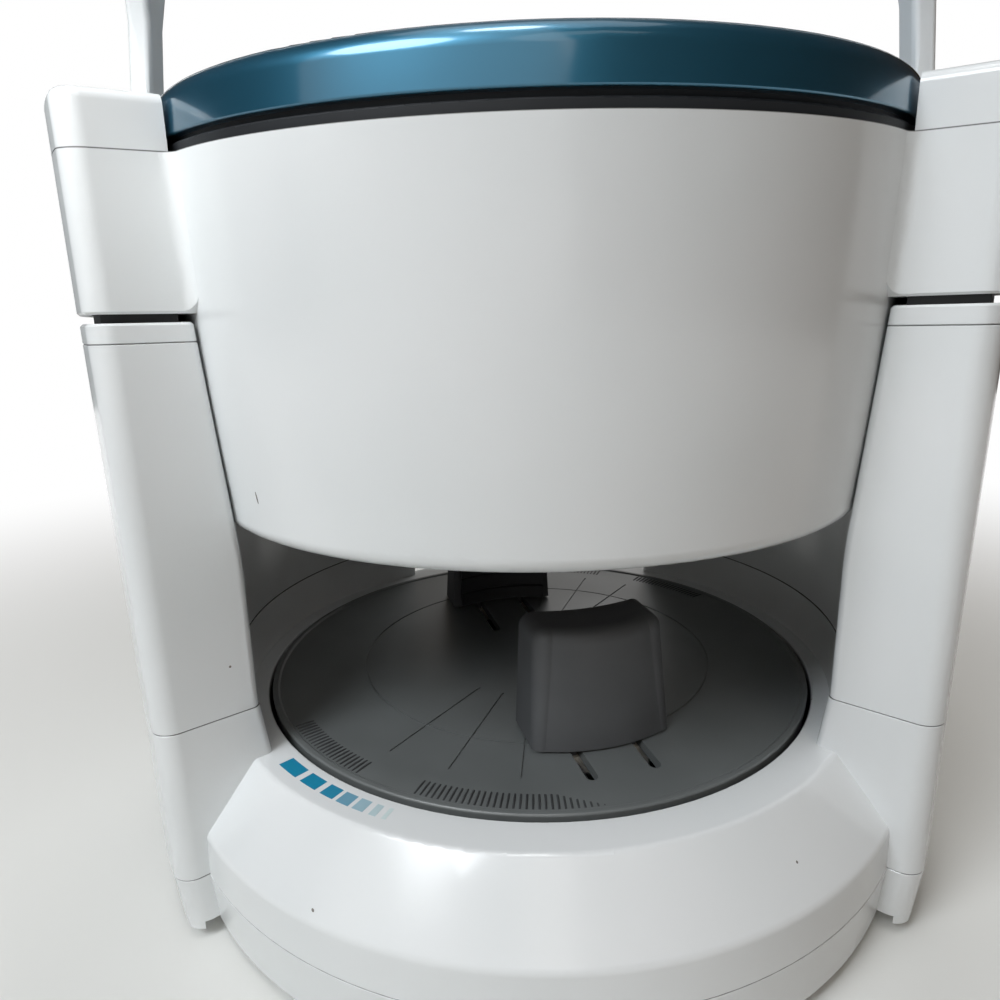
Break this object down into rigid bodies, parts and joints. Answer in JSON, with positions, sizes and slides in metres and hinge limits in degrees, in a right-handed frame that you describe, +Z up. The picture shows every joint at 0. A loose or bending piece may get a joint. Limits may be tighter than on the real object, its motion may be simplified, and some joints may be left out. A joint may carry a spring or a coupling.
{
  "type": "electric jar opener",
  "caption": "Electric jar opener: powered turntable with two jar grips, and a lid-gripping head with a carrying handle that slides down two columns.",
  "frame": {"origin": "on the worktop, under the turntable's axis", "axes": "+Z up along the turntable's axis, -Y towards the user, +X to the user's right"},
  "size_m": [0.235, 0.2186, 0.29],
  "materials": {
    "white_abs": "gloss",
    "blue_lacquer": "gloss",
    "slate_abs": "satin",
    "charcoal_abs": "satin",
    "grey_soft_grip": "matte",
    "black_rubber": "matte",
    "bright_steel": "polished",
    "zinc_steel": "satin",
    "motor_steel": "satin",
    "natural_acetal": "satin",
    "black_abs": "satin",
    "sintered_brass": "satin",
    "green_laminate": "satin",
    "grey_button": "satin"
  },
  "bodies": {
    "base": {"base_pan": "white_abs", "rubber_feet": "black_rubber", "base_shell": "white_abs", "left_column_socket": "white_abs", "right_column_socket": "white_abs", "turntable_well": "black_abs", "left_column_wiper": "black_rubber", "right_column_wiper": "black_rubber", "left_column_shell": "white_abs", "right_column_shell": "white_abs", "left_column_bezel": "white_abs", "right_column_bezel": "white_abs", "left_guide_bushes": "sintered_brass", "right_guide_bushes": "sintered_brass", "thrust_washer": "natural_acetal", "centre_post": "bright_steel", "drive_motor": "motor_steel", "control_board": "green_laminate", "cord_grommet": "black_rubber", "pan_screws": "zinc_steel", "left_damper": "black_abs", "right_damper": "black_abs"},
    "motor_pinion": {"motor_pinion": "natural_acetal"},
    "turntable": {"turntable": "charcoal_abs", "grip_guide_rods": "bright_steel", "drive_gear": "natural_acetal", "gear_screws": "zinc_steel"},
    "front_grip": {"front_grip": "grey_soft_grip", "front_grip_pad": "black_rubber", "front_carriage": "natural_acetal"},
    "rear_grip": {"rear_grip": "grey_soft_grip", "rear_grip_pad": "black_rubber", "rear_carriage": "natural_acetal"},
    "grip_pinion": {"grip_pinion": "natural_acetal"},
    "head": {"head_front_shell": "white_abs", "head_rear_shell": "white_abs", "cover_ring": "slate_abs", "head_cover": "blue_lacquer", "left_cap": "white_abs", "right_cap": "white_abs", "handle": "white_abs", "button_switch": "black_abs", "left_guide_rods": "bright_steel", "right_guide_rods": "bright_steel", "left_lift_bracket": "zinc_steel", "right_lift_bracket": "zinc_steel", "left_lift_rack": "natural_acetal", "right_lift_rack": "natural_acetal", "gripper_plate": "black_abs", "lid_motor": "motor_steel"},
    "open_button": {"open_button": "grey_button"},
    "left_lid_jaw": {"left_lid_jaw": "natural_acetal", "left_lid_pad": "black_rubber"},
    "right_lid_jaw": {"right_lid_jaw": "natural_acetal", "right_lid_pad": "black_rubber"},
    "lid_pinion": {"lid_pinion": "natural_acetal"},
    "left_damper_pinion": {"left_damper_pinion": "natural_acetal"},
    "right_damper_pinion": {"right_damper_pinion": "natural_acetal"}
  },
  "joints": [
    {"name": "head_lift", "type": "slide", "parent": "base", "child": "head", "axis": [0, 0, 1], "range_m": [0, 0.09]},
    {"name": "turntable_spin", "type": "hinge", "parent": "base", "child": "turntable", "pos_m": [0, 0, 0.03], "axis": [0, 0, 1], "continuous": true},
    {"name": "motor_spin", "type": "hinge", "parent": "base", "child": "motor_pinion", "pos_m": [0, 0.0585, 0.027], "axis": [0, 0, 1], "continuous": true},
    {"name": "front_grip_slide", "type": "slide", "parent": "turntable", "child": "front_grip", "axis": [0.2756, -0.9613, 0], "range_m": [-0.0257, 0.0123]},
    {"name": "rear_grip_slide", "type": "slide", "parent": "turntable", "child": "rear_grip", "axis": [-0.2756, 0.9613, 0], "range_m": [-0.0257, 0.0123]},
    {"name": "grip_pinion_spin", "type": "hinge", "parent": "turntable", "child": "grip_pinion", "pos_m": [0, 0, 0.0336], "axis": [0, 0, 1], "range_deg": [-89, 185]},
    {"name": "button_press", "type": "slide", "parent": "head", "child": "open_button", "axis": [0, 0, -1], "range_m": [0, 0.0022], "stiffness_N_per_m": 300, "springref_m": -0.003},
    {"name": "right_lid_jaw_slide", "type": "slide", "parent": "head", "child": "right_lid_jaw", "axis": [1, 0, 0], "range_m": [-0.033, 0.007]},
    {"name": "left_lid_jaw_slide", "type": "slide", "parent": "head", "child": "left_lid_jaw", "axis": [-1, 0, 0], "range_m": [-0.033, 0.007]},
    {"name": "lid_pinion_spin", "type": "hinge", "parent": "head", "child": "lid_pinion", "pos_m": [0, 0, 0.1655], "axis": [0, 0, 1], "range_deg": [-41, 190]},
    {"name": "left_damper_spin", "type": "hinge", "parent": "base", "child": "left_damper_pinion", "pos_m": [-0.104, 0.011, 0.128], "axis": [1, 0, 0], "range_deg": [-646, 1]},
    {"name": "right_damper_spin", "type": "hinge", "parent": "base", "child": "right_damper_pinion", "pos_m": [0.104, 0.011, 0.128], "axis": [1, 0, 0], "range_deg": [-646, 1]}
  ],
  "couplings": [
    {"joint": "motor_spin", "follows": "turntable_spin", "ratio": -4.5714},
    {"joint": "rear_grip_slide", "follows": "front_grip_slide", "ratio": 1},
    {"joint": "grip_pinion_spin", "follows": "front_grip_slide", "rad_per_m": -125},
    {"joint": "left_lid_jaw_slide", "follows": "right_lid_jaw_slide", "ratio": 1},
    {"joint": "lid_pinion_spin", "follows": "right_lid_jaw_slide", "rad_per_m": -100},
    {"joint": "left_damper_spin", "follows": "head_lift", "rad_per_m": -125},
    {"joint": "right_damper_spin", "follows": "head_lift", "rad_per_m": -125}
  ]
}
